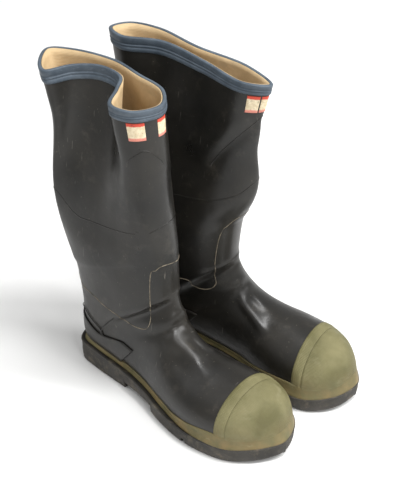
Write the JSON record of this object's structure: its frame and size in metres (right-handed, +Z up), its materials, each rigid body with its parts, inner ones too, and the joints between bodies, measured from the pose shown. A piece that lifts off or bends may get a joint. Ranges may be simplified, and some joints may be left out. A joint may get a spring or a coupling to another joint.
{
  "type": "pair of insulated rubber hunting boots",
  "caption": "Pair of tall black rubber boots with olive toe caps and foxing, bound rims, canvas lining, insulation and cleated soles; one leg is folded, the other pressed flat.",
  "frame": {"origin": "on the floor, in the middle of the box of the pair", "axes": "+Z up; toes towards -Y; +X to the left of the wearer"},
  "size_m": [0.2354, 0.3706, 0.4089],
  "materials": {
    "black_rubber": "matte black rubber with a faint brown bloom and fine scratches",
    "olive_rubber": "matte olive rubber with a fine rib on the toe and ground-in dirt",
    "sole_rubber": "weathered dark grey rubber with tan dust on its edges",
    "binding_rubber": "blue-grey rubber strip with fine raised lines",
    "canvas": "plain tan woven cotton lining",
    "insulation": "cream needled wool and foam felt",
    "felt": "dense brown-grey felt",
    "steel": "plain pressed steel",
    "leatherboard": "compressed leather fibre board",
    "label": "worn blank transfer label, cream with red traces"
  },
  "bodies": {
    "right_foot": {"right_outsole": "sole_rubber", "right_midsole_filler": "felt", "right_steel_shank": "steel", "right_foxing_band": "olive_rubber", "right_vamp_rubber": "black_rubber", "right_ankle_rubber": "black_rubber", "right_toe_cap_cover": "olive_rubber", "right_toe_cap_strip": "olive_rubber", "right_heel_counter_patch": "black_rubber", "right_steel_toe_cap": "steel", "right_heel_stiffener": "leatherboard", "right_insole_board": "leatherboard", "right_foot_insulation": "insulation", "right_ankle_insulation": "insulation", "right_foot_lining": "canvas", "right_ankle_lining": "canvas", "right_footbed": "felt"},
    "right_leg": {"right_leg_rubber": "black_rubber", "right_leg_lining": "canvas", "right_leg_insulation": "insulation", "right_top_binding": "binding_rubber", "right_label_front": "label", "right_label_side": "label", "right_shin_ply": "canvas"},
    "left_foot": {"left_outsole": "sole_rubber", "left_midsole_filler": "felt", "left_steel_shank": "steel", "left_foxing_band": "olive_rubber", "left_vamp_rubber": "black_rubber", "left_ankle_rubber": "black_rubber", "left_toe_cap_cover": "olive_rubber", "left_toe_cap_strip": "olive_rubber", "left_heel_counter_patch": "black_rubber", "left_steel_toe_cap": "steel", "left_heel_stiffener": "leatherboard", "left_insole_board": "leatherboard", "left_foot_insulation": "insulation", "left_ankle_insulation": "insulation", "left_foot_lining": "canvas", "left_ankle_lining": "canvas", "left_footbed": "felt"},
    "left_leg": {"left_leg_rubber": "black_rubber", "left_leg_lining": "canvas", "left_leg_insulation": "insulation", "left_top_binding": "binding_rubber", "left_label_front": "label", "left_label_side": "label", "left_shin_ply": "canvas"}
  },
  "joints": [
    {"name": "left_boot_lift", "type": "slide", "parent": "right_foot", "child": "left_foot", "axis": [0, 0, 1], "range_m": [0, 0.42]},
    {"name": "right_ankle_flex", "type": "hinge", "parent": "right_foot", "child": "right_leg", "pos_m": [-0.0441, 0.0729, 0.118], "axis": [0.9964, -0.0845, 0], "range_deg": [-12, 20], "stiffness_Nm_per_rad": 6, "deforming": ["right_ankle_rubber", "right_ankle_insulation", "right_ankle_lining"]},
    {"name": "left_ankle_flex", "type": "hinge", "parent": "left_foot", "child": "left_leg", "pos_m": [0.0441, 0.0558, 0.118], "axis": [0.9964, 0.0845, 0], "range_deg": [-12, 20], "stiffness_Nm_per_rad": 6, "deforming": ["left_ankle_rubber", "left_ankle_insulation", "left_ankle_lining"]}
  ]
}
